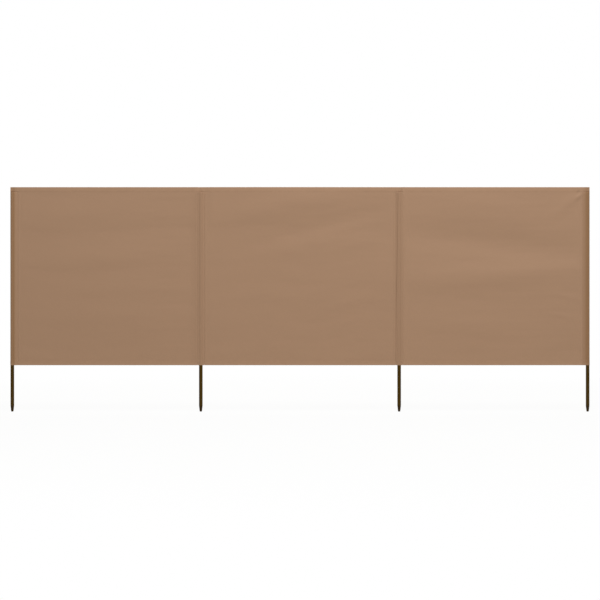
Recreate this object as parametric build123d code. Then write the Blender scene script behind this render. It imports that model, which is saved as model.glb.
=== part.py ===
from build123d import *
import os

# A cloth garden windbreak of three bays. Four steel tubes stand in pockets sewn
# into one long run of polyester cloth, and their plastic points go in the ground.
# The cloth's top edge is bound from end to end, and each bay's bottom edge too.
#
# Frame: +Z up, the cloth runs along +X and its front faces -Y. The origin is the
# middle of the flat end of the left end post's point. Sizes are in millimetres.

# Setting out, between the axes of the posts
outer_bay = 1302.0
middle_bay = 1370.0

# Heights above the flat ends of the points
cloth_bottom = 320.0
cloth_top = 1550.0

# Cloth
cloth = 0.5
layer_gap = 0.2
binding_height = 30.0
binding_tuck = 14.0

# Posts
tube_diameter = 25.0
tube_wall = 0.8

# Ground points, which plug into the tubes' lower ends
point_length = 42.0
point_nose_radius = 8.0
point_nose_height = 2.5
point_flat_radius = 5.0
point_plug_length = 45.0

# Caps, which plug into the tubes' upper ends and carry the cloth
cap_rim = 2.5
cap_bevel_height = 2.5
cap_crown_radius = 9.5
cap_plug_length = 20.0

# Both plugs are crosses of two webs that grip the tube's bore
plug_web = 2.4
plug_lead_in = 3.0
plug_end_radius = 9.5

# Post pockets, as seen from above. The slack is from a tube's side to the crease
# where the pocket's front and back meet, and the margins of the seam lie beyond it.
pocket_ease = 0.25
crease_radius = 0.15
end_pocket_slack = 25.0
middle_pocket_slack = 11.5
seam_margin = 12.0
seam_ease = 0.35
pocket_below_binding = 4.0
margin_below_fold = 4.0

tube_radius = tube_diameter / 2
tube_bore_radius = tube_radius - tube_wall
pocket_radius = tube_radius + pocket_ease
end_reach = tube_radius + end_pocket_slack
middle_reach = tube_radius + middle_pocket_slack
seam_start = crease_radius + 2 * cloth + seam_ease

binding_foot = cloth_top - binding_height
pocket_ceiling = binding_foot - pocket_below_binding
cap_rim_top = pocket_ceiling - cap_bevel_height
tube_top = cap_rim_top - cap_rim

# Layers of the seams, from the front: the bay's cloth lies on the pocket's margin
margin_front = -cloth
margin_back = cloth
panel_front = margin_front - cloth
binding_front = panel_front - cloth
binding_tuck_front = margin_back + layer_gap
binding_flap_back = binding_tuck_front + 2 * cloth + layer_gap
fold_radius = (binding_flap_back - binding_front - cloth) / 2
fold_middle = (binding_flap_back + binding_front) / 2
fold_centre = cloth_top - fold_radius - cloth / 2
margin_top = fold_centre - margin_below_fold
margin_bottom = cloth_bottom + cloth_top - margin_top

# Each post has its place along the run and how far its pocket's two creases lie
# from its axis, on its left and on its right. Beyond an end post there is no seam.
posts = {
    "left_end": (0.0, 0.0, end_reach),
    "left_middle": (outer_bay, middle_reach, middle_reach),
    "right_middle": (outer_bay + middle_bay, middle_reach, middle_reach),
    "right_end": (2 * outer_bay + middle_bay, end_reach, 0.0),
}
bays = {
    "left": ("left_end", "left_middle"),
    "middle": ("left_middle", "right_middle"),
    "right": ("right_middle", "right_end"),
}

os.makedirs("parts", exist_ok=True)


def block(x_low, x_high, y_low, y_high, z_low, z_high):
    """A box between two corners."""
    size = (x_high - x_low, y_high - y_low, z_high - z_low)
    return Pos(x_low, y_low, z_low) * Box(*size, align=(Align.MIN, Align.MIN, Align.MIN))


def post_tube():
    """A round steel tube, from the point's shoulder to the cap's head."""
    ring = Circle(tube_radius) - Circle(tube_bore_radius)
    return Pos(0, 0, point_length) * extrude(ring, tube_top - point_length)


def turned(*corners):
    """A solid of revolution about the post's axis, from radius and height pairs."""
    return revolve(Plane.XZ * make_face(Polyline(*corners, close=True)), Axis.Z)


def cross_plug(length):
    """A plug of two crossed webs as wide as the tube's bore, which stands on its
    shoulder and narrows at the end that enters the tube."""
    web = (2 * tube_bore_radius, plug_web)
    cross = extrude(Rectangle(*web) + Rectangle(*reversed(web)), length)
    bore_edge = (tube_bore_radius, length - plug_lead_in)
    return cross & turned((0, 0), (tube_bore_radius, 0), bore_edge, (plug_end_radius, length), (0, length))


def ground_point():
    """A plastic point: a plug, a shoulder under the tube's end, and a taper to a blunt
    nose that ends in a flat."""
    flat_edge = (point_flat_radius, 0)
    nose_edge = (point_nose_radius, point_nose_height)
    shoulder_edge = (tube_radius, point_length)
    body = turned((0, 0), flat_edge, nose_edge, shoulder_edge, (0, point_length))
    return body + Pos(0, 0, point_length) * cross_plug(point_plug_length)


def post_cap():
    """A plastic cap: a plug below, and a head that sits on the tube's end with a
    bevelled rim and a flat crown."""
    crown_edge = (cap_crown_radius, pocket_ceiling)
    rim_edge = (tube_radius, cap_rim_top)
    tube_edge = (tube_radius, tube_top)
    head = turned((0, tube_top), tube_edge, rim_edge, crown_edge, (0, pocket_ceiling))
    return head + Pos(0, 0, tube_top) * mirror(cross_plug(cap_plug_length), about=Plane.XY)


def pocket_outline(left, right, layers):
    """The pocket from above, so many layers of cloth outside its hollow: the taut
    hull round the post's circle and the creases where its two sides meet."""
    circles = Circle(pocket_radius).edges()
    for reach in (-left, right):
        if reach:
            circles += (Pos(reach, 0) * Circle(crease_radius)).edges()
    hollow = make_hull(circles)
    return offset(hollow, layers * cloth) if layers else hollow


def under_roof(layers, half_run):
    """Everything below the roof that the pocket's closed top makes over the cap's
    head, so many layers of cloth above its underside. The roof runs along X."""
    crown = cap_crown_radius + pocket_ease
    eaves = Polyline((pocket_radius, cloth_bottom), (pocket_radius, cap_rim_top), (crown, pocket_ceiling))
    gable = eaves + mirror(eaves, about=Plane.YZ)
    gable += Line((-crown, pocket_ceiling), (crown, pocket_ceiling))
    gable += Line((-pocket_radius, cloth_bottom), (pocket_radius, cloth_bottom))
    section = make_face(gable)
    section = offset(section, layers * cloth) if layers else section
    return extrude(Plane.YZ * section, half_run, both=True)


def post_pocket(left, right):
    """A pole pocket: two layers of cloth round the post, sewn shut over its cap, open
    below with a turned hem, and flat margins where the bays are sewn on."""
    height = cloth_top - cloth_bottom
    half_run = max(left, right) + tube_diameter
    outside = extrude(pocket_outline(left, right, 1), height)
    inside = extrude(pocket_outline(left, right, 0), height)
    hem = extrude(pocket_outline(left, right, 2), binding_height)
    lift = Pos(0, 0, cloth_bottom)
    cover = lift * outside & under_roof(1, half_run)
    hollow = lift * inside & under_roof(0, half_run)

    x_left = -left if left else -pocket_radius
    x_right = right if right else pocket_radius
    layers = (margin_front, margin_back)
    margins = block(x_left, x_right, *layers, pocket_ceiling, margin_top)
    if left:
        margins += block(x_left - seam_margin, x_left, *layers, margin_bottom, margin_top)
    if right:
        margins += block(x_right, x_right + seam_margin, *layers, margin_bottom, margin_top)
    return cover + lift * hem + margins - hollow


def bay_span(bay):
    """Where a bay's cloth starts and ends along the run, just outside its pockets."""
    first, last = bays[bay]
    place_first, _, reach_first = posts[first]
    place_last, reach_last, _ = posts[last]
    return place_first + reach_first + seam_start, place_last - reach_last - seam_start


def bay_cloth(bay):
    """One bay's cloth, which lies on the front of the pockets' margins and goes into
    the bindings at its top and bottom edges."""
    return block(*bay_span(bay), panel_front, margin_front, margin_bottom, margin_top)


def binding_profile():
    """The folded binding from its end, with y and z: a front leaf, a round fold, a
    back leaf, and that leaf's raw edge turned up inside."""
    front = binding_front + cloth / 2
    back = binding_flap_back - cloth / 2
    tuck = binding_tuck_front + cloth / 2
    turn_centre = binding_foot + cloth / 2 + (back - tuck) / 2
    path = Line((front, binding_foot), (front, fold_centre))
    path += CenterArc((fold_middle, fold_centre), fold_radius, 180, -180)
    path += Line((back, fold_centre), (back, turn_centre))
    path += CenterArc(((back + tuck) / 2, turn_centre), (back - tuck) / 2, 0, -180)
    path += Line((tuck, turn_centre), (tuck, binding_foot + binding_tuck))
    return trace(path, cloth)


def binding(x_low, x_high):
    """A length of top binding along the run."""
    return Pos(x_low, 0, 0) * extrude(Plane.YZ * binding_profile(), x_high - x_low)


def save(shape, name):
    """Writes one piece of the windbreak."""
    export_step(shape, f"parts/{name}.step")


for name, (place, left, right) in posts.items():
    save(Pos(place, 0, 0) * post_tube(), f"{name}_post")
    save(Pos(place, 0, 0) * ground_point(), f"{name}_ground_point")
    save(Pos(place, 0, 0) * post_cap(), f"{name}_post_cap")
    save(Pos(place, 0, 0) * post_pocket(left, right), f"{name}_pocket")

# The bottom binding is the top one turned upside down about the cloth's mid-height
mid_height = Plane.XY.offset((cloth_top + cloth_bottom) / 2)
for bay in bays:
    save(bay_cloth(bay), f"{bay}_bay_cloth")
    save(mirror(binding(*bay_span(bay)), about=mid_height), f"{bay}_bottom_binding")

# The top binding runs on over all the pockets, from end to end
run_start = -pocket_radius - cloth
run_end = posts["right_end"][0] + pocket_radius + cloth
save(binding(run_start, run_end), "top_binding")

print("overall width", run_end - run_start, "height", cloth_top)
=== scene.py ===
import math

import bpy
import numpy as np
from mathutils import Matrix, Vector


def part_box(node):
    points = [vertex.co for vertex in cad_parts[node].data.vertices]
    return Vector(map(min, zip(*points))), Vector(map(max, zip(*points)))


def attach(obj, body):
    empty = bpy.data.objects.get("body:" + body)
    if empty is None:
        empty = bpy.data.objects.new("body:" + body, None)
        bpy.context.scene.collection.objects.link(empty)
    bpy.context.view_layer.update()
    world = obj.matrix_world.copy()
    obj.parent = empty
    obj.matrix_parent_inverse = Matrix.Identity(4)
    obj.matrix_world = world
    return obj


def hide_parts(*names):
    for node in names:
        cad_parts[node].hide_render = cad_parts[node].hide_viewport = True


# A garden windbreak: three bays of taupe polyester cloth on four brown steel tubes.
# +X runs along the cloth, -Y is its front and +Z is up, all in metres.
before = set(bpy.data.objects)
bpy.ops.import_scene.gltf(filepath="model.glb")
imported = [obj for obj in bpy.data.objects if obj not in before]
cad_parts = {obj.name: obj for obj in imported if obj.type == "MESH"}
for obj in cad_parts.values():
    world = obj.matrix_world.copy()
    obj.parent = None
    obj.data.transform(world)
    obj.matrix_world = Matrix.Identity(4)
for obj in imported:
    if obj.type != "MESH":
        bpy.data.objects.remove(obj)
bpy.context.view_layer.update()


# Camera. It stands square to the middle of the run with a long lens, so the bays look
# flat on. The photograph's 600 pixels span 4.145 m at the cloth.
view_distance = 12.0
view_width = 4.1448
view_middle = 1.9871
view_height = 0.7704
sensor = 36.0
camera = bpy.data.objects.new("camera", bpy.data.cameras.new("camera"))
bpy.context.collection.objects.link(camera)
camera.data.sensor_width = sensor
camera.data.lens = sensor * view_distance / view_width
camera.data.clip_end = 100.0
camera.location = (view_middle, -view_distance, view_height)
camera.rotation_euler = (math.pi / 2, 0, 0)
bpy.context.scene.camera = camera
bpy.context.scene.view_settings.view_transform = "Standard"


# Studio. A soft lamp stands high in front of the right half, a weaker one behind, and
# a white room fills the rest. The pale floor keeps a faint shadow near the posts.
def node(tree, kind, inputs=None, **settings):
    """Adds one shader node. Each input takes a plain value or another node's output."""
    made = tree.nodes.new(kind)
    for name, value in settings.items():
        setattr(made, name, value)
    for name, value in (inputs or {}).items():
        if isinstance(value, bpy.types.NodeSocket):
            tree.links.new(value, made.inputs[name])
        else:
            made.inputs[name].default_value = value
    return made


def maths(tree, operation, *values):
    """The output of one Math node that works on these values."""
    return node(tree, "ShaderNodeMath", dict(enumerate(values)), operation=operation).outputs[0]


def seen_directly(tree):
    """1 for what the camera sees itself, or in a gloss or through glass, and 0 for light."""
    path = node(tree, "ShaderNodeLightPath").outputs
    gloss_or_glass = maths(tree, "MAXIMUM", path["Is Glossy Ray"], path["Is Transmission Ray"])
    return maths(tree, "MAXIMUM", path["Is Camera Ray"], gloss_or_glass)


def lamp(name, place, target, size, watts):
    """A square area lamp turned from its place towards a target."""
    made = bpy.data.objects.new(name, bpy.data.lights.new(name, "AREA"))
    bpy.context.collection.objects.link(made)
    made.data.shape = "SQUARE"
    made.data.size = size
    made.data.energy = watts
    made.location = place
    made.rotation_euler = (Vector(target) - Vector(place)).to_track_quat("-Z", "Y").to_euler()


# The room lights the part at this share of the plain white that the camera sees
room_light = 0.45
lamp("front_lamp", place=(3.3, -4.5, 8.6), target=(2.0, 0.0, 0.9), size=3.0, watts=706.0)
lamp("back_lamp", place=(1.4, 5.0, 4.6), target=(2.0, 0.0, 0.8), size=2.5, watts=190.0)

world = bpy.data.worlds.new("room")
bpy.context.scene.world = world
world.use_nodes = True
room = world.node_tree
room.nodes.clear()
room_strength = maths(room, "MULTIPLY_ADD", seen_directly(room), 1 - room_light, room_light)
room_shine = node(room, "ShaderNodeBackground", {"Color": (1, 1, 1, 1), "Strength": room_strength})
node(room, "ShaderNodeOutputWorld", {"Surface": room_shine.outputs[0]})

# Near the windbreak this share of the floor is plain white, and the rest is pale paper
# that takes the shadow. Between these distances from the run's middle it turns white.
floor_reach = 30.0
floor_white = 0.95
floor_colour = (0.57, 0.57, 0.52, 1)
run_middle = (2.0, 0.0, 0.0)
fade_start = 2.6
fade_end = 6.5
floor_mesh = bpy.data.meshes.new("floor")
floor_corners = [(-1, -1), (1, -1), (1, 1), (-1, 1)]
floor_points = [(x * floor_reach, y * floor_reach, 0) for x, y in floor_corners]
floor_mesh.from_pydata(floor_points, [], [(0, 1, 2, 3)])
floor = bpy.data.objects.new("floor", floor_mesh)
bpy.context.collection.objects.link(floor)

paper = bpy.data.materials.new("floor_paper")
paper.use_nodes = True
tree = paper.node_tree
tree.nodes.clear()
spot = node(tree, "ShaderNodeTexCoord").outputs["Object"]
from_middle = node(tree, "ShaderNodeVectorMath", {0: spot, 1: run_middle}, operation="DISTANCE")
fade_inputs = {"Value": from_middle.outputs["Value"], "From Min": fade_start, "From Max": fade_end,
               "To Min": floor_white, "To Max": 1.0}
fade = node(tree, "ShaderNodeMapRange", fade_inputs, interpolation_type="SMOOTHSTEP").outputs[0]
white_share = maths(tree, "MULTIPLY", fade, seen_directly(tree))
pale = node(tree, "ShaderNodeBsdfDiffuse", {"Color": floor_colour}).outputs[0]
white = node(tree, "ShaderNodeEmission", {"Color": (1, 1, 1, 1), "Strength": 1.0}).outputs[0]
mixed = node(tree, "ShaderNodeMixShader", {0: white_share, 1: pale, 2: white}).outputs[0]
node(tree, "ShaderNodeOutputMaterial", {"Surface": mixed})
floor_mesh.materials.append(paper)


# Bay cloth. Each bay is one taut sheet of plain-woven polyester, hung between the
# seams of two pole pockets, where its side edges are turned under and sewn down. It
# has long shallow tension folds, and the stitching draws in slight puckers.
posts = ("left_end", "left_middle", "right_middle", "right_end")
bays = ("left", "middle", "right")
post_x = np.array([sum(corner.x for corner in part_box(f"{post}_post")) / 2 for post in posts])

# Each fold has its middle's x and z, its half length and half width, its tilt in
# degrees up towards the right, and how far it stands forward, in millimetres. One that
# stands back is a hollow. The middle and right bays hang slackest, so their folds are
# deepest, and a sharp crease runs into the right bay's top corner.
folds = np.array([
    (0.25, 1.35, 0.30, 0.08, 4, 2.5),
    (0.85, 1.24, 0.65, 0.08, 5, -4.0),
    (0.60, 1.05, 0.50, 0.06, 2, 1.5),
    (0.85, 0.85, 0.45, 0.06, 0, 1.2),
    (0.90, 0.64, 0.60, 0.09, 0, 2.5),
    (1.85, 1.42, 0.55, 0.11, 9, 9.5),
    (1.65, 1.56, 0.50, 0.10, 0, 6.0),
    (2.10, 1.27, 0.60, 0.05, 14, -2.0),
    (2.10, 1.15, 0.40, 0.05, 8, 2.0),
    (1.95, 0.78, 0.50, 0.06, 0, 1.2),
    (3.50, 1.14, 0.60, 0.10, -6, -8.0),
    (2.95, 1.21, 0.45, 0.13, -4, -6.0),
    (3.60, 0.97, 0.45, 0.07, 3, 4.0),
    (3.10, 0.91, 0.50, 0.08, 0, 5.0),
    (3.25, 1.43, 0.35, 0.08, -8, 2.5),
    (3.15, 0.60, 0.35, 0.09, -5, 3.0),
    (3.85, 0.36, 0.18, 0.16, 0, -6.0),
    (3.86, 1.46, 0.14, 0.035, 43, 3.0),
    (3.922, 1.492, 0.04, 0.012, 42, 4.0),
    (3.915, 1.516, 0.03, 0.012, 42, -2.5),
    (3.90, 1.545, 0.04, 0.012, -15, 1.5),
    (3.85, 0.79, 0.12, 0.018, -12, 1.2),
    (3.80, 0.66, 0.10, 0.018, -12, 1.0),
])

# Folds and ripples begin just clear of a post and are full grown a little further out
held_reach = 0.013
held_fade = 0.07

# The outer bays stand forward beside the middle posts, over the fronts of the pockets
shoulder_lift = 0.005
shoulder_place = 0.026
shoulder_width = 0.030
shoulder_start = 0.007
shoulder_rise = 0.018

# Ripples have these lengths up the cloth, and this height as a share of their length.
# Their phase and strength wander between knots along the run.
ripple_length = np.array([0.045, 0.065, 0.09, 0.13, 0.18])
ripple_share = 0.0019
run_reach = 4.2
wander_knots = np.arange(0, run_reach, 0.35)
rng = np.random.default_rng(7)
ripple_phase = rng.uniform(0, 9, (len(ripple_length), len(wander_knots)))
ripple_strength = rng.uniform(0, 1, (len(ripple_length), len(wander_knots)))

# Points on the cloth are this far apart, and closer along the run beside a post. Where
# the cloth bends by more than the sharp angle, the edge is crisp.
wide_step = 0.009
close_step = 0.003
close_reach = 0.07
sharp_angle = math.radians(50)

# The side edges are turned under, and the turned layer ends in a step. It thins out
# over a short height beside the bindings, which cover the top and bottom edges.
turned_edge = 0.012
turned_layer = 0.0004
turn_step = 0.001
turn_fade = 0.010
covered = 0.026

# Stitching draws puckers in the cloth. Those beside a pocket's seam grow from a little
# clear of the bindings, and those beside a binding start at its edge.
pucker_pitch = 0.017
pucker_depth = 0.00025
pucker_fade = 0.018
pucker_knots = np.arange(0, run_reach, 0.11)
pucker_start = 0.004
pucker_growth = 0.020

# The dye, the pitch of two threads and the weave's height, the scales of the streaks
# that uneven threads make, and how far streaks, clouds and the weave shade the dye
cloth_colour = (0.354, 0.2145, 0.133)
thread_pitch = 0.0011
weave_height = 0.00015
thread_streaks = ((30, 900, 1), (900, 30, 1))
base_tone = 0.90
streak_tone = 0.08
cloud_tone = 0.04
weave_tone = 0.05


def ease(value):
    """A smooth step from 0 to 1."""
    value = np.clip(value, 0, 1)
    return value * value * (3 - 2 * value)


def ripples(x, z):
    """Faint streaks of slack: five sine waves up the cloth, whose phase and strength
    wander slowly along the run."""
    total = 0
    for length, phases, strengths in zip(ripple_length, ripple_phase, ripple_strength):
        phase = np.interp(x, wander_knots, phases)
        strength = np.interp(x, wander_knots, strengths)
        total = total + ripple_share * length * strength * np.sin(2 * math.pi * z / length + phase)
    return total


def swell(x, z):
    """How far the cloth stands forward of its flat plane. It is the sum of the folds,
    each a long bell-shaped ridge, and the ripples, which die away beside every post,
    and of a shoulder where the outer bays run on to the fronts of the middle pockets."""
    fold_x, fold_z, length, width, tilt, lift = folds.T.reshape(6, *[1] * np.ndim(x), -1)
    turn = np.radians(tilt)
    dx = x[..., None] - fold_x
    dz = z[..., None] - fold_z
    along = dx * np.cos(turn) + dz * np.sin(turn)
    across = dz * np.cos(turn) - dx * np.sin(turn)
    ridges = (lift / 1000 * np.exp(-((along / length) ** 2) - (across / width) ** 2)).sum(-1)
    from_post = np.abs(x[..., None] - post_x).min(-1)
    free = ease((from_post - held_reach) / held_fade)
    outer_side = np.stack([post_x[1] - x, x - post_x[2]])
    bell = np.exp(-(((outer_side - shoulder_place) / shoulder_width) ** 2))
    shoulder = (ease((outer_side - shoulder_start) / shoulder_rise) * bell).sum(0)
    return (ridges + ripples(x, z)) * free + shoulder_lift * shoulder


def puckers(distance, along):
    """Ripples that stitching draws in the cloth beside a seam: a sine wave along the
    seam, of uneven phase and strength, that falls to a third every 18 mm from it."""
    phase = np.interp(along, pucker_knots, rng.uniform(0, 2.4, len(pucker_knots)))
    strength = np.interp(along, pucker_knots, rng.uniform(0.3, 1.0, len(pucker_knots)))
    wave = np.sin(2 * math.pi * along / pucker_pitch + phase)
    return pucker_depth * strength * wave * np.exp(-distance / pucker_fade)


def run_points(low, high):
    """Places along the run for a grid's columns: the wide step apart, and the close step
    near a post, where the cloth bends most."""
    wide = np.linspace(low, high, round((high - low) / wide_step) + 1)
    close = np.linspace(low, high, round((high - low) / close_step) + 1)
    near = np.abs(close[:, None] - post_x).min(-1) < close_reach
    wide = wide[np.abs(wide[:, None] - post_x).min(-1) >= close_reach]
    return np.unique(np.concatenate([[low], wide, close[near], [high]]))


def sewn_piece(name, outer, inner, run, rise):
    """A closed skin of cloth from two grids of points, its outer and its inner side.
    Each row's outer points and then its inner ones in reverse make a ring, quads join
    each ring to the next, and quads between the two sides close the first and last.
    run and rise give the cloth's own measure along and up it, for the weave."""
    rows, columns = outer.shape[:2]
    size = 2 * columns
    rings = np.concatenate([outer, inner[:, ::-1]], axis=1)
    measure = np.stack([np.broadcast_to(run, (rows, columns)), np.broadcast_to(rise, (rows, columns))], -1)
    measure = np.concatenate([measure, measure[:, ::-1]], axis=1).reshape(-1, 2)
    index = np.arange(rows * size).reshape(rows, size)
    after = np.roll(index, -1, axis=1)
    sides = np.stack([index[:-1], after[:-1], after[1:], index[1:]], -1).reshape(-1, 4)
    here = np.arange(columns - 1)
    first = np.stack([here + 1, here, size - 1 - here, size - 2 - here], -1)
    last = index[-1][np.stack([here, here + 1, size - 2 - here, size - 1 - here], -1)]
    faces = np.concatenate([sides, first, last])
    points = rings.reshape(-1, 3)

    # Where the volume comes out negative, the faces look inwards and are turned round
    a, b, c, d = points[faces].transpose(1, 0, 2)
    volume = (a * np.cross(b, c) + a * np.cross(c, d)).sum()
    if volume < 0:
        faces = faces[:, ::-1]

    mesh = bpy.data.meshes.new(name)
    mesh.from_pydata(points.tolist(), [], faces.tolist())
    mesh.polygons.foreach_set("use_smooth", np.ones(len(faces), bool))
    mesh.set_sharp_from_angle(angle=sharp_angle)
    mesh.uv_layers.new(name="weave").data.foreach_set("uv", measure[faces].astype(np.float32).ravel())
    made = bpy.data.objects.new(name, mesh)
    bpy.context.collection.objects.link(made)
    return made


def new_material(name):
    """A new material, with its node tree and its shader."""
    material = bpy.data.materials.new(name)
    material.use_nodes = True
    return material, material.node_tree, material.node_tree.nodes["Principled BSDF"]


def noise(tree, place, scale, detail):
    """The value of a Noise texture at each place."""
    return node(tree, "ShaderNodeTexNoise", {"Vector": place, "Scale": scale, "Detail": detail}).outputs[0]


def stretched(tree, place, scale):
    """Each place times a scale of its own for x, y and z."""
    return node(tree, "ShaderNodeMapping", {"Vector": place, "Scale": scale}).outputs[0]


def toned(tree, colour, tone):
    """The colour times the tone."""
    return node(tree, "ShaderNodeVectorMath", {0: colour, "Scale": tone}, operation="SCALE").outputs[0]


def blended(tree, share, first, second):
    """A colour that goes from the first to the second by this share. A Mix node has
    colours at its inputs 6 and 7 and its output 2."""
    return node(tree, "ShaderNodeMix", {"Factor": share, 6: first, 7: second}, data_type="RGBA").outputs[2]


def bumped(tree, shader, height, strength, distance):
    """Gives the shader a bump that rises this far with this height."""
    bump = node(tree, "ShaderNodeBump", {"Strength": strength, "Distance": distance, "Height": height})
    tree.links.new(bump.outputs[0], shader.inputs["Normal"])


def woven(name, colour, painted_shade_colour=None):
    """A plain-woven polyester. Two crossed sine waves are its weave, drawn-out noise its uneven threads,
    and a broad noise its faint clouding.
    Where a tube lies close behind the cloth, the given shade colour is mixed in as painted shade, by the
    share in the mesh's attribute. It stands in for the tube's shadow through the cloth."""
    material, tree, shader = new_material(name)
    measure = node(tree, "ShaderNodeUVMap", uv_map="weave").outputs[0]
    place = node(tree, "ShaderNodeTexCoord").outputs["Object"]
    waves = []
    for distance in node(tree, "ShaderNodeSeparateXYZ", {0: measure}).outputs[:2]:
        angle = maths(tree, "MULTIPLY", distance, 2 * math.pi / thread_pitch)
        waves.append(maths(tree, "SINE", angle))
    weave = maths(tree, "MULTIPLY", *waves)
    streaks = [noise(tree, stretched(tree, measure, streak), 1.0, 2.0) for streak in thread_streaks]
    threads = maths(tree, "ADD", *streaks)
    clouds = noise(tree, place, scale=3.0, detail=4.0)
    tone = maths(tree, "MULTIPLY_ADD", threads, streak_tone, base_tone)
    tone = maths(tree, "MULTIPLY_ADD", clouds, cloud_tone, tone)
    tone = maths(tree, "MULTIPLY_ADD", weave, weave_tone, tone)
    dye = colour
    if painted_shade_colour:
        share = node(tree, "ShaderNodeAttribute", attribute_name="painted_tube_shade").outputs["Fac"]
        dye = blended(tree, share, (*colour, 1), (*painted_shade_colour, 1))
    tree.links.new(toned(tree, dye, tone), shader.inputs["Base Color"])
    relief = maths(tree, "MULTIPLY_ADD", threads, 0.6, weave)
    bumped(tree, shader, relief, strength=0.25, distance=weave_height)
    shader.inputs["Roughness"].default_value = 0.62
    shader.inputs["Specular IOR Level"].default_value = 0.2
    shader.inputs["Sheen Weight"].default_value = 0.04
    shader.inputs["Sheen Roughness"].default_value = 0.5
    return material


bay_fabric = woven("taupe_cloth", cloth_colour)
for bay in bays:
    low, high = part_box(f"{bay}_bay_cloth")
    first_turn = low.x + turned_edge
    last_turn = high.x - turned_edge
    turns = [first_turn - turn_step, first_turn, last_turn, last_turn + turn_step]
    spread = np.sort(np.append(run_points(low.x, high.x), turns))
    up = np.linspace(low.z, high.z, round((high.z - low.z) / wide_step) + 1)
    x, z = np.meshgrid(spread, up)
    from_side = np.minimum(x - low.x, high.x - x)
    from_binding = np.minimum(z - low.z, high.z - z) - covered
    turned = turned_layer * ease((turned_edge - from_side) / turn_step + 0.5)
    turned *= ease(from_binding / turn_fade)
    forward = swell(x, z) + puckers(from_side, z) * ease((from_binding - pucker_start) / pucker_growth)
    forward += puckers(np.maximum(from_binding, 0), x) * ease(from_binding / pucker_start)
    front = np.stack([x, low.y - forward - turned, z], -1)
    back = np.stack([x, high.y - forward, z], -1)
    sheet = sewn_piece(f"{bay}_bay_sheet", front, back, x, z)
    sheet.data.materials.append(bay_fabric)
    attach(sheet, "root")
    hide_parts(f"{bay}_bay_cloth")


# Pole pockets. A strip of the same cloth is folded round each tube and sewn to itself
# and to the bays in flat margins. It is closed above the tube's cap, inside the top
# binding, and open below, where its mouth has a turned hem.
layer = 0.0005
wrap_radius = 0.013
margin = 0.012
past_crease = 0.0002
path_step = 0.0015
arc_points = 60
hem_height = 0.030
hem_ledge = 0.0006

# The inner side stops just short of half a layer from the cloth's middle, so that where
# the pocket's front and back lie on each other their faces don't coincide
inner_share = 0.96
pocket_low, pocket_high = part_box("left_middle_pocket")
cap_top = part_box("left_end_post_cap")[1].z
margin_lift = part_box("left_bay_cloth")[0].z - pocket_low.z

# Heights of the pocket's rings of points: close ones at the hem's ledge, which keep it
# crisp, even ones up the shaft, and close ones round the roof over the cap. The depth
# at each is a share of the shaft's, so the pocket closes flat above the roof. The hem's
# stitches follow the fourth ring.
mouth_heights = np.array([0.0, 0.006, 0.014, 0.022, 0.029, hem_height, hem_height + hem_ledge, 0.0316])
stitched_ring = 3
shaft_start = 0.040
shaft_step = 0.0098
roof_start = cap_top - 0.005
roof_rise = np.array([0.0, 0.002, 0.0035, 0.0045, 0.0053, 0.0059, 0.0062, 0.0064, 0.0067])
roof_depth = np.array([1.0, 1.0, 0.985, 0.93, 0.82, 0.62, 0.36, 0.1, 0.02])
shaft_heights = np.arange(pocket_low.z + shaft_start, roof_start, shaft_step)
top_heights = [cap_top + 0.006, pocket_high.z]
heights = np.concatenate([pocket_low.z + mouth_heights, shaft_heights, roof_start + roof_rise, top_heights])
depth = np.concatenate([np.ones(len(mouth_heights) + len(shaft_heights)), roof_depth, roof_depth[[-1, -1]]])
heights = heights[:, None]
depth = depth[:, None]

# Painted shade: over each tube the cloth's colour is mixed towards a darker colour. It stands in for the
# tube's shadow through the thin cloth and the shading where the cloth curves round it, and is strongest
# where the cloth is pulled tight on it. Places are across the pocket from the post's axis, and shares are
# of the painted shade colour. The hem, which is doubled, takes less of it.
end_painted_shade_colour = (0.16, 0.07, 0.01)
middle_painted_shade_colour = (0.10, 0.045, 0.012)
left_end_places = (-0.013, 0.0, 0.008, 0.0145, 0.0185, 0.030, 0.042)
left_end_shares = (0.18, 0.37, 0.55, 0.47, 0.20, 0.12, 0.0)
right_end_places = (-0.042, -0.034, -0.028, -0.018, -0.013, -0.005, 0.004, 0.013)
right_end_shares = (0.0, 0.11, 0.20, 0.29, 0.45, 0.54, 0.55, 0.30)
band_place = 0.007
band_width = 0.011
band_share = 0.14
hem_fade_heights = (0.012, 0.020)
hem_fade_shares = (0.7, 1.0)

# The right middle pocket has a pleat down its front, which is where y is under
# pleat_front. It leans out towards its foot.
pleat_top = -0.010
pleat_lean = -0.018
pleat_depth = 0.0014
pleat_width = 0.0027
pleat_front = -0.002
# The pleat's painted shadow: its share of the shade colour, and its half width
pleat_shadow = 0.08
pleat_shadow_width = 0.003


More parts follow.
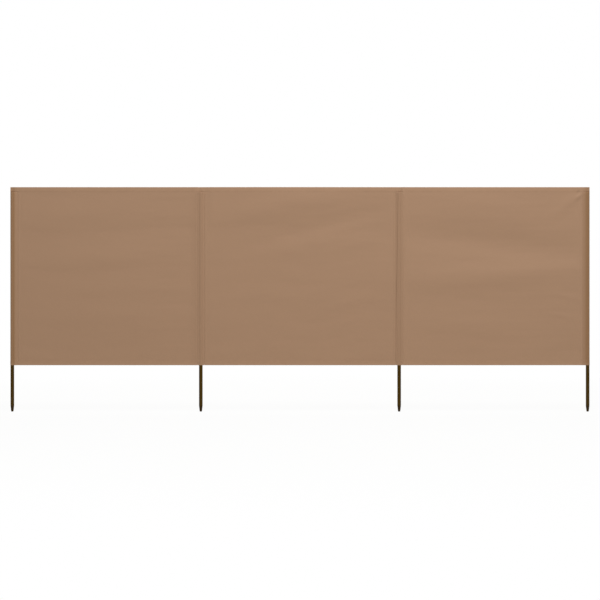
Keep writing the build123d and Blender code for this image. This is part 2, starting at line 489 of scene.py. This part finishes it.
def wrapped(left, right):
    """The pocket's cloth from above, as evenly spaced points on one path. It comes in
    along a margin, runs straight to where it touches a circle round the tube, follows
    the circle, and runs straight to the next margin. Beyond an end post there is no
    margin, so it goes on round the circle. Also gives each point's distance along it."""
    half = layer / 2

    def touch(reach):
        """How far round the circle a straight run from this reach touches it."""
        return math.asin((wrap_radius - half) / reach)

    def arc(start, stop):
        """Points on the circle, by the angle from its front round through its right."""
        turn = np.linspace(start, stop, arc_points)
        return np.stack([wrap_radius * np.sin(turn), -wrap_radius * np.cos(turn)], -1)

    def edge(side, reach, y):
        """A margin, from its outer edge in to the crease."""
        return np.array([(side * (reach + margin), y), (side * reach, y)])

    if left and right:
        runs = [
            edge(-1, left, -half),
            arc(-touch(left), touch(right)),
            edge(1, right, -half)[::-1],
            edge(1, right, half),
            arc(math.pi - touch(right), math.pi + touch(left)),
            edge(-1, left, half)[::-1],
        ]
    elif left:
        runs = [
            edge(-1, left, -half),
            arc(-touch(left), math.pi + touch(left)),
            edge(-1, left, half)[::-1],
        ]
    else:
        runs = [
            edge(1, right, half),
            arc(math.pi - touch(right), 2 * math.pi + touch(right)),
            edge(1, right, -half)[::-1],
        ]
    path = np.concatenate(runs)
    length = np.concatenate([[0], np.cumsum(np.linalg.norm(np.diff(path, axis=0), axis=1))])
    even = np.linspace(0, length[-1], round(length[-1] / path_step))
    return np.stack([np.interp(even, length, path[:, i]) for i in (0, 1)], -1), even


def pleat_line(z):
    """Where the pleat lies at each height, across the pocket from its post's axis."""
    return pleat_top + pleat_lean * (pocket_high.z - z) / (pocket_high.z - pocket_low.z)


def pleat(x, z):
    """How far the pocket's front is drawn in by the pleat: a narrow bell-shaped crease,
    less a ridge of six tenths of its depth close beside it on the right."""
    offset = (x - pleat_line(z)) / pleat_width
    return pleat_depth * (np.exp(-(offset**2)) - 0.6 * np.exp(-((offset - 2.4) ** 2)))


def painted_shade_share(post, x, z):
    """How strongly the painted shade is mixed in. It stands in for the tube's shadow through the cloth and
    the shading where the cloth curves round it.
    At an end post it is strong on the tube and fades across the pocket to the seam. At a middle post it is
    a soft band on the tube, and the right middle pocket has a second one, a painted shadow in its pleat."""
    if post == "left_end":
        return np.interp(x, left_end_places, left_end_shares)
    if post == "right_end":
        return np.interp(x, right_end_places, right_end_shares)
    band = band_share * np.exp(-(((x - band_place) / band_width) ** 2))
    if post == "right_middle":
        band = band + pleat_shadow * np.exp(-(((x - pleat_line(z)) / pleat_shadow_width) ** 2))
    return band


def store_painted_shade(made, share):
    """Stores the share of painted shade at each point of a piece's mesh."""
    values = np.asarray(share, np.float32).ravel()
    made.data.attributes.new("painted_tube_shade", "FLOAT", "POINT").data.foreach_set("value", values)


# The pockets' cloth, with painted shade over the tubes: browner at the end posts, greyer at the middle ones
end_fabric = woven("taupe_end_pocket_cloth", cloth_colour, end_painted_shade_colour)
middle_fabric = woven("taupe_middle_pocket_cloth", cloth_colour, middle_painted_shade_colour)
hem_lines = {}
for post, place in zip(posts, post_x):
    low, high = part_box(f"{post}_pocket")
    left = place - low.x - margin if place - low.x > 2 * margin else 0
    right = high.x - place - margin if high.x - place > 2 * margin else 0
    path, run = wrapped(left, right)
    step = np.gradient(path, axis=0)
    step /= np.linalg.norm(step, axis=1, keepdims=True)
    in_left_margin = (path[:, 0] < -left - past_crease) * bool(left)
    in_right_margin = (path[:, 0] > right + past_crease) * bool(right)
    in_margin = in_left_margin + in_right_margin

    # The margins start higher than the mouth. Over the cap the front and back close on
    # each other, to half a layer from the middle, and the doubled hem is thicker.
    z = heights + margin_lift * in_margin * np.clip(1 - (heights - pocket_low.z) / hem_height, 0, 1)
    hem = (heights < pocket_low.z + hem_height + hem_ledge / 2) * (1 - in_margin)
    x = np.broadcast_to(path[:, 0], z.shape)
    y = np.where(np.abs(path[:, 1]) > layer / 2, path[:, 1] * depth, path[:, 1])
    y = np.where(np.abs(y) < layer / 2, np.sign(path[:, 1]) * layer / 2, y)
    if post == "right_middle":
        y = y + pleat(x, z) * (y < pleat_front) * depth
    out = np.zeros((*z.shape, 3))
    out[..., 0] = step[:, 1]
    out[..., 1] = -step[:, 0]
    middle = np.stack([place + x, y - swell(place + x, z), z], -1)
    outer = middle + out * (layer / 2 + layer * hem)[..., None]
    inner = middle - out * (layer / 2 * inner_share)

    sleeve = sewn_piece(f"{post}_sleeve", outer, inner, run, heights)
    # The share of painted shade at each point, less in the doubled hem
    share = painted_shade_share(post, x, z) * np.interp(heights - pocket_low.z, hem_fade_heights, hem_fade_shares)
    store_painted_shade(sleeve, np.concatenate([share, share[:, ::-1]], axis=1))
    sleeve.data.materials.append(middle_fabric if "middle" in post else end_fabric)
    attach(sleeve, "root")
    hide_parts(f"{post}_pocket")
    hem_lines[post] = (outer[stitched_ring][in_margin == 0], out[stitched_ring][in_margin == 0])


# Bindings. The cloth's edges are folded in strips of the same cloth, one along the top
# from end to end over all the pockets, and one along the bottom of each bay. Each has
# a front leaf, a round fold, and a back leaf with its raw edge turned up inside.
binding_colour = (0.366, 0.221, 0.137)
# Where it runs over the end tubes, the top binding takes the end pockets' painted shade at this share of
# theirs
binding_shade = 0.55
tuck = 0.014
layer_gap = 0.0002
binding_fabric = woven("taupe_binding", binding_colour, end_painted_shade_colour)


def binding_path(low, high, upward):
    """The folded strip from its end, as points of y and z. From its foot it goes up the
    front leaf, round the fold, down the back leaf, round a small turn, and up the tuck.
    Where it isn't upward, all of that is upside down."""
    front = low.y + layer / 2
    back = high.y - layer / 2
    inside = back - layer - layer_gap
    fold = (back - front) / 2
    turn = (back - inside) / 2
    top = high.z - low.z - layer / 2 - fold
    foot = layer / 2 + turn
    leaf = np.linspace(0, 1, 9)[:, None]
    bend = np.linspace(0, math.pi, 11)
    small_bend = bend[::2]
    runs = [
        np.array([front, 0]) + leaf * np.array([0, top]),
        np.stack([(front + back) / 2 - fold * np.cos(bend), top + fold * np.sin(bend)], -1),
        np.array([back, top]) + leaf[1:-1] * np.array([0, foot - top]),
        np.stack([(back + inside) / 2 + turn * np.cos(small_bend), foot - turn * np.sin(small_bend)], -1),
        np.array([inside, foot]) + leaf[1::2] * np.array([0, tuck - foot]),
    ]
    y, rise = np.concatenate(runs).T
    return np.stack([y, low.z + rise if upward else high.z - rise], -1)


def bind(name, node_name, upward):
    """Carries the folded strip's outline along the run and lets it follow the cloth. At
    the run's two ends it takes the painted shade over the tube about half as strongly as the pockets below
    it."""
    low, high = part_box(node_name)
    path = binding_path(low, high, upward)
    step = np.gradient(path, axis=0)
    step /= np.linalg.norm(step, axis=1, keepdims=True)
    side = np.stack([step[:, 1], -step[:, 0]], -1) * layer / 2 * (-1 if upward else 1)
    run = run_points(low.x, high.x)[:, None]
    grids = []
    for sign in (1, -1):
        x, y, z = np.broadcast_arrays(run, *(path + sign * side).T)
        grids.append(np.stack([x, y - swell(x, z), z], -1))
    measure = np.concatenate([[0], np.cumsum(np.linalg.norm(np.diff(path, axis=0), axis=1))])
    strip = sewn_piece(name, *grids, run, measure)
    share = sum(painted_shade_share(posts[end], run - post_x[end], high.z) for end in (0, -1))
    store_painted_shade(strip, np.broadcast_to(binding_shade * share, (len(run), 2 * len(path))))
    strip.data.materials.append(binding_fabric)
    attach(strip, "root")
    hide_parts(node_name)
    return strip


top_edge = bind("top_edge", "top_binding", True)
bottom_edges = {bay: bind(f"{bay}_bottom_edge", f"{bay}_bottom_binding", False) for bay in bays}


# Stitching. Two rows of lockstitch hold each binding, two hold each seam between a bay
# and a pocket, and one holds each pocket's turned mouth. The polyester thread matches the cloth, 0.5 mm
# thick, at about seven stitches an inch.
# Its colour is painted a little lighter than the cloth, to offset the shade on and around the stitches.
stitch_pitch = 0.0036
hole_gap = 0.0003
thread_radius = 0.00026
# Two tones of the thread, painted lighter than the cloth to offset the shade on the stitches
lightened_thread_colours = ((0.36, 0.22, 0.135, 1), (0.43, 0.27, 0.165, 1))

# A stitch's tips lie this share of the thread's radius under the cloth. Its two rings of
# points lie at these shares of its length, and this share of the radius over the cloth.
tip_depth = 0.5
ring_places = (0.26, 0.74)
ring_rise = 0.3
stitch_points = 10

# How far the rows lie from the edges of the bindings and seams, and start from their ends
binding_insets = (0.003, 0.009)
seam_insets = (0.0025, 0.0075)
binding_end = 0.002
seam_foot = 0.002
seam_head = 0.001
mouth_end = 0.004

thread, tree, shader = new_material("sewing_thread")
twist = noise(tree, node(tree, "ShaderNodeTexCoord").outputs["Object"], scale=260.0, detail=2.0)
tree.links.new(blended(tree, twist, *lightened_thread_colours), shader.inputs["Base Color"])
shader.inputs["Roughness"].default_value = 0.5
shader.inputs["Specular IOR Level"].default_value = 0.3


def stitched(name, rows):
    """Rows of stitches as one mesh. Each row is a line of holes and the cloth's outward
    direction there. A stitch is a bar of thread between the edges of two holes, of ten
    points: a tip in each hole and between them two rings of four, a radius out."""
    ring = np.arange(4)
    after = (ring + 1) % 4
    corners = np.concatenate([
        np.stack([0 * ring, 2 + ring, 2 + after], -1),
        np.stack([1 + 0 * ring, 6 + after, 6 + ring], -1),
        np.stack([2 + ring, 6 + ring, 6 + after], -1),
        np.stack([2 + ring, 6 + after, 2 + after], -1),
    ])
    points = []
    for holes, outward in rows:
        first, last = holes[:-1], holes[1:]
        along = (last - first) / np.linalg.norm(last - first, axis=1, keepdims=True)
        out = outward[:-1]
        side = np.cross(along, out)
        sunk = out * thread_radius * tip_depth
        stitch = [first + along * hole_gap - sunk, last - along * hole_gap - sunk]
        for place in ring_places:
            centre = first + (last - first) * place + out * thread_radius * ring_rise
            stitch += [centre + spoke * thread_radius for spoke in (side, out, -side, -out)]
        points.append(np.stack(stitch, 1).reshape(-1, 3))
    points = np.concatenate(points)
    starts = np.arange(0, len(points), stitch_points)
    faces = (starts[:, None, None] + corners).reshape(-1, 3)
    mesh = bpy.data.meshes.new(name)
    mesh.from_pydata(points.tolist(), [], faces.tolist())
    mesh.polygons.foreach_set("use_smooth", np.ones(len(faces), bool))
    mesh.materials.append(thread)
    made = bpy.data.objects.new(name, mesh)
    bpy.context.collection.objects.link(made)
    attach(made, "root")
    return made


def straight_row(start, stop, y, side):
    """A straight row of holes from one x and z to another, on the cloth's front, where
    side is -1, or its back, where side is 1, at the flat cloth's y."""
    start, stop = np.array(start), np.array(stop)
    count = round(float(np.abs(stop - start).max()) / stitch_pitch)
    x, z = (start + (stop - start) * np.linspace(0, 1, count + 1)[:, None]).T
    holes = np.stack([x, y - swell(x, z), z], -1)
    return holes, np.broadcast_to((0.0, side, 0.0), holes.shape)


def binding_rows(node_name, upward):
    """A binding's two rows of stitches, near its open edge, on both leaves."""
    low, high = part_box(node_name)
    rows = []
    for inset in binding_insets:
        z = low.z + inset if upward else high.z - inset
        for y, side in ((low.y, -1), (high.y, 1)):
            rows.append(straight_row((low.x + binding_end, z), (high.x - binding_end, z), y, side))
    return rows


def seam_rows(post):
    """The stitches of one pocket: two rows in each margin, front and back, and the row
    round its mouth."""
    rows = []
    low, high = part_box(f"{post}_pocket")
    place = post_x[posts.index(post)]
    z_low = pocket_low.z + hem_height + seam_foot
    z_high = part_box("top_binding")[0].z - seam_head
    for side_of_post, edge in ((-1, low.x), (1, high.x)):
        if abs(edge - place) < 2 * margin:
            continue
        for inset in seam_insets:
            x = edge - side_of_post * inset
            rows.append(straight_row((x, z_low), (x, z_high), -2 * layer - turned_layer, -1))
            rows.append(straight_row((x, z_low), (x, z_high), layer, 1))
    line, out = hem_lines[post]
    length = np.concatenate([[0], np.cumsum(np.linalg.norm(np.diff(line, axis=0), axis=1))])
    count = round((length[-1] - 2 * mouth_end) / stitch_pitch)
    even = np.linspace(mouth_end, length[-1] - mouth_end, count)
    holes = np.stack([np.interp(even, length, line[:, i]) for i in range(3)], -1)
    outward = np.stack([np.interp(even, length, out[:, i]) for i in range(3)], -1)
    rows.append((holes, outward))
    return rows


top_stitches = stitched("top_edge_stitches", binding_rows("top_binding", True))
for bay in bays:
    rows = binding_rows(f"{bay}_bottom_binding", False)
    stitched(f"{bay}_bottom_stitches", rows)
seam_stitches = {post: stitched(f"{post}_seam_stitches", seam_rows(post)) for post in posts}


# Posts. Each is a round steel tube, 25 mm across, powder-coated dark brown, so it has
# a fine orange-peel skin. The end that goes in the ground is dulled and scuffed.
coat_colour = (0.054, 0.029, 0.003)
worn_coat = (0.12, 0.09, 0.06)
scuff_streaks = (420, 420, 60)
scuff_start = 0.60
scuff_full = 0.72


def speckled(name, colour, worn, grain_size, grain_depth, roughness, worn_top):
    """A coated or moulded skin: a fine noise for its grain, and a streaky noise that
    shows the worn colour, less and less up to worn_top above the ground."""
    material, tree, shader = new_material(name)
    place = node(tree, "ShaderNodeTexCoord").outputs["Object"]
    grain = noise(tree, place, 1 / grain_size, 3.0)
    scuffs = noise(tree, stretched(tree, place, scuff_streaks), 1.0, 4.0)
    height = node(tree, "ShaderNodeSeparateXYZ", {0: place}).outputs["Z"]
    ground_inputs = {"Value": height, "From Min": worn_top, "From Max": 0.0, "To Min": 0.0, "To Max": 1.0}
    near_ground = node(tree, "ShaderNodeMapRange", ground_inputs).outputs[0]
    patch_inputs = {"Value": scuffs, "From Min": scuff_start, "From Max": scuff_full}
    patches = node(tree, "ShaderNodeMapRange", patch_inputs).outputs[0]
    wear = maths(tree, "MULTIPLY", patches, near_ground)
    coat = toned(tree, colour, maths(tree, "MULTIPLY_ADD", grain, 0.5, 0.75))
    skin = blended(tree, maths(tree, "MULTIPLY", wear, 0.5), coat, (*worn, 1))
    tree.links.new(skin, shader.inputs["Base Color"])
    dull = maths(tree, "MULTIPLY_ADD", grain, 0.1, roughness - 0.05)
    dull = maths(tree, "MULTIPLY_ADD", wear, 0.2, dull)
    tree.links.new(dull, shader.inputs["Roughness"])
    bumped(tree, shader, grain, 0.5, grain_depth)
    shader.inputs["Specular IOR Level"].default_value = 0.06
    return material


def recoat(node_name, material):
    """Gives a CAD piece this material alone."""
    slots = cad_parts[node_name].data.materials
    slots.clear()
    slots.append(material)


powder_coat = speckled("brown_powder_coat", coat_colour, worn_coat, grain_size=0.0012,
                       grain_depth=0.00006, roughness=0.42, worn_top=0.30)
for post in posts:
    recoat(f"{post}_post", powder_coat)


# Ground points and caps. They are moulded in dark brown polypropylene with a fine matt
# grain. A point plugs into its tube's foot, and a cap closes its tube's head.
plastic_colour = (0.036, 0.02, 0.006)
worn_plastic = (0.10, 0.08, 0.055)
moulded = speckled("brown_moulded_plastic", plastic_colour, worn_plastic, grain_size=0.0007,
                   grain_depth=0.00008, roughness=0.6, worn_top=0.06)
for post in posts:
    recoat(f"{post}_ground_point", moulded)
    recoat(f"{post}_post_cap", moulded)


# Last, each bay's cloth box and then the top binding's box are read from the CAD parts.
for bay, ends in zip(bays, zip(posts, posts[1:])):
    low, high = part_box(f"{bay}_bay_cloth")
low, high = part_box("top_binding")
